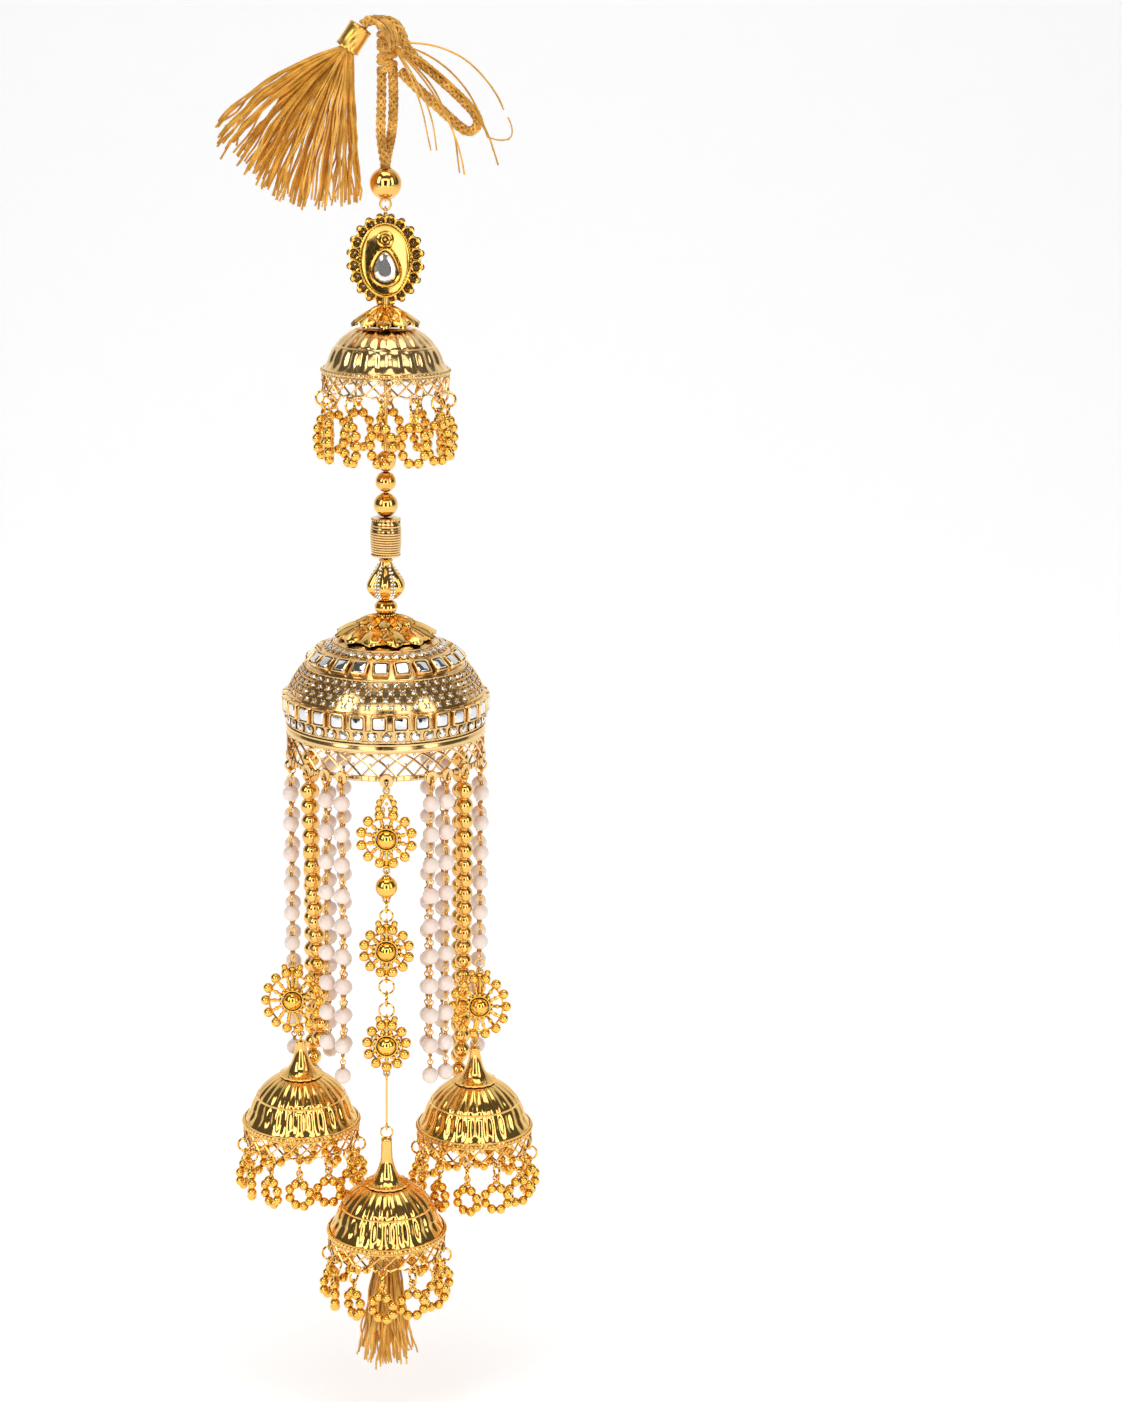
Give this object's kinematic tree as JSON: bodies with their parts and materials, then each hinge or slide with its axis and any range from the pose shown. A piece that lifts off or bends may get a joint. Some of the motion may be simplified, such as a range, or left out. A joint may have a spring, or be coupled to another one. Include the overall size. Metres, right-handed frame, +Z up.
{
  "type": "kalire bridal bangle ornament, the left one of a pair",
  "caption": "Hanging bridal ornament: tied cord with tassel, pear stone medallion, small fringed bell, large dome with square stones, pearl strands, flower chain and three fringed bells.",
  "frame": {"origin": "top of the tie cord's bend, where the ornament hangs by a bangle or a hook", "axes": "+Z up along the hanging ornament, -Y to the front, +X to the right"},
  "size_m": [0.0797, 0.068, 0.3338],
  "materials": {
    "gold": "polished gold plate",
    "antique_gold": "antique gold plate",
    "pearl": "pearl lustre",
    "thread": "golden twisted thread",
    "clear_stone": "cut and polished",
    "mirror_stone": "foil-backed cut stone"
  },
  "bodies": {
    "head": {"neck_cords": "thread", "tie_loop_front": "thread", "tie_loop_back": "thread", "tie_knot": "thread", "tassel_ferrule": "gold", "tie_tassel": "thread", "top_bead": "gold", "top_ring": "gold"},
    "drop": {"medallion": "gold", "medallion_stone": "clear_stone", "upper_cap": "gold", "upper_bell": "antique_gold", "upper_rings": "gold", "upper_fringe": "gold", "stem_wire": "gold", "stem_bead_upper": "gold", "stem_bead_middle": "gold", "stem_bead_lower": "gold", "barrel_bead": "antique_gold", "lantern_bead": "gold", "flat_bead": "gold", "main_cap": "gold", "main_dome": "antique_gold", "kundan_upper": "mirror_stone", "kundan_lower": "mirror_stone", "strand_rings": "gold", "outer_pearls_left": "pearl", "outer_wire_left": "gold", "outer_pearls_right": "pearl", "outer_wire_right": "gold", "gold_strand_left": "gold", "gold_strand_right": "gold", "pearl_strand_left_outer": "pearl", "pearl_strand_left_inner": "pearl", "pearl_strand_right_inner": "pearl", "pearl_strand_right_outer": "pearl", "back_gold_strands": "gold", "back_pearls_left": "pearl", "back_pearls_right": "pearl", "front_flower_upper": "gold", "front_bead": "gold", "front_flower_middle": "gold", "front_links": "gold", "front_flower_lower": "gold", "bell_wire": "gold", "side_flower_left": "gold", "side_flower_right": "gold"},
    "left_bell": {"left_bell": "gold", "left_rings": "gold", "left_fringe": "gold"},
    "right_bell": {"right_bell": "gold", "right_rings": "gold", "right_fringe": "gold"},
    "centre_bell": {"centre_bell": "gold", "centre_rings": "gold", "centre_fringe": "gold", "centre_tassel": "thread"}
  },
  "joints": [
    {"name": "drop_swing", "type": "hinge", "parent": "head", "child": "drop", "pos_m": [0, 0, -0.0439], "axis": [0, 1, 0], "range_deg": [-30, 30]},
    {"name": "left_bell_swing", "type": "hinge", "parent": "drop", "child": "left_bell", "pos_m": [-0.02133, -0.00713, -0.2522], "axis": [0, 1, 0], "range_deg": [0, 35]},
    {"name": "right_bell_swing", "type": "hinge", "parent": "drop", "child": "right_bell", "pos_m": [0.023, -0.00382, -0.2545], "axis": [0, -1, 0], "range_deg": [0, 35]},
    {"name": "centre_bell_swing", "type": "hinge", "parent": "drop", "child": "centre_bell", "pos_m": [0.00177, -0.02524, -0.2697], "axis": [-1, 0, 0], "range_deg": [0, 35]}
  ]
}
